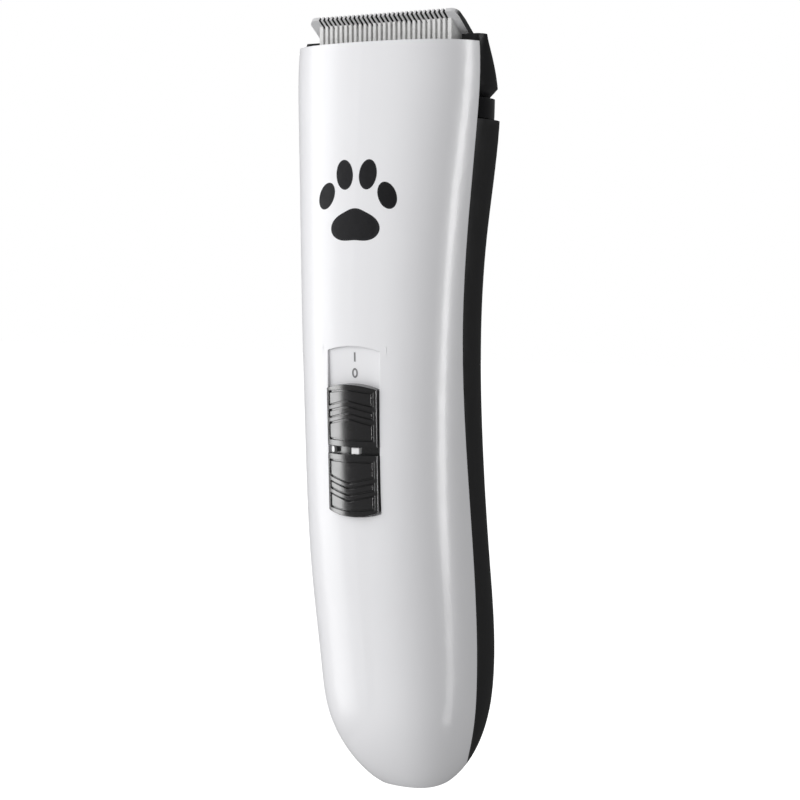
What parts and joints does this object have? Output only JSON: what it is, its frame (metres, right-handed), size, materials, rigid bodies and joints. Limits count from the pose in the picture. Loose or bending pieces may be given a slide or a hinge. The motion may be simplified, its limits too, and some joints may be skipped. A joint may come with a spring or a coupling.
{
  "type": "electric pet clipper",
  "caption": "Cordless hair clipper for pets: a two-part curved casing, a thumb slide switch, a motor-driven cutter behind a steel comb, and a blade head that tips open.",
  "frame": {"origin": "middle of the charging socket's mouth, in the tail's flat end", "axes": "+Z along the body to the comb tips, the slide switch faces -Y, +X to its right as seen from the back"},
  "size_m": [0.0484, 0.0468, 0.1849],
  "materials": {
    "shell_white": "gloss moulded white",
    "shell_black": "satin black, fine spark texture",
    "head_black": "satin black",
    "neck_gloss": "gloss black",
    "button_black": "semi-gloss black",
    "insert_white": "gloss white",
    "comb_steel": "ground and polished teeth",
    "cutter_ceramic": "fine white sintered ceramic",
    "driver_plastic": "natural acetal",
    "cam_plastic": "natural acetal",
    "inner_plastic": "moulded black",
    "screw_steel": "plated",
    "shaft_steel": "ground",
    "spring_steel": "drawn wire",
    "core_steel": "laminated",
    "motor_steel": "zinc plated",
    "switch_metal": "tin plated",
    "magnet_grey": "sintered ferrite",
    "bearing_bronze": "sintered bronze",
    "contact_brass": "bright",
    "winding_copper": "enamelled copper",
    "nickel_tab": "nickel strip",
    "board_green": "solder mask",
    "component_black": "moulded",
    "jack_plastic": "moulded",
    "cell_wrap": "shrink sleeve",
    "damper_rubber": "soft",
    "lead_red": "PVC sleeve",
    "lead_black": "PVC sleeve"
  },
  "bodies": {
    "casing": {"front_shell": "shell_white", "rear_shell": "shell_black", "housing_screws": "screw_steel", "slide_switch_body": "switch_metal", "circuit_board": "board_green", "board_components": "component_black", "charge_jack": "jack_plastic", "jack_contacts": "contact_brass", "battery_cell": "cell_wrap", "battery_tabs": "nickel_tab", "motor_can": "motor_steel", "motor_end_cap": "inner_plastic", "motor_bearings": "bearing_bronze", "motor_magnets": "magnet_grey", "motor_terminals": "contact_brass", "motor_brushes": "contact_brass", "motor_damper": "damper_rubber", "motor_bracket": "inner_plastic", "motor_screws": "screw_steel", "neck_block": "neck_gloss", "head_hinge_pin": "shaft_steel", "battery_lead_red": "lead_red", "battery_lead_black": "lead_black", "jack_lead_red": "lead_red", "jack_lead_black": "lead_black", "motor_lead_red": "lead_red", "motor_lead_black": "lead_black"},
    "slider": {"switch_button": "button_black", "button_insert": "insert_white", "slide_switch_knob": "inner_plastic"},
    "rotor": {"motor_shaft": "shaft_steel", "armature_core": "core_steel", "armature_windings": "winding_copper", "commutator": "contact_brass", "eccentric_cam": "cam_plastic"},
    "blade_head": {"head_base": "head_black", "comb_blade": "comb_steel", "blade_spring": "spring_steel", "blade_screws": "screw_steel"},
    "cutter": {"cutter_blade": "cutter_ceramic", "cutter_driver": "driver_plastic"}
  },
  "joints": [
    {"name": "switch_slide", "type": "slide", "parent": "casing", "child": "slider", "axis": [0, -0.0314, 0.9995], "range_m": [0, 0.004]},
    {"name": "motor_spin", "type": "hinge", "parent": "casing", "child": "rotor", "pos_m": [0, -0.012, 0.13], "axis": [0, 0, 1], "continuous": true},
    {"name": "head_tilt", "type": "hinge", "parent": "casing", "child": "blade_head", "pos_m": [0, 0.0025, 0.1631], "axis": [-1, 0, 0], "range_deg": [0, 40]},
    {"name": "cutter_slide", "type": "slide", "parent": "blade_head", "child": "cutter", "axis": [1, 0, 0], "range_m": [-0.0009, 0.0009]}
  ]
}
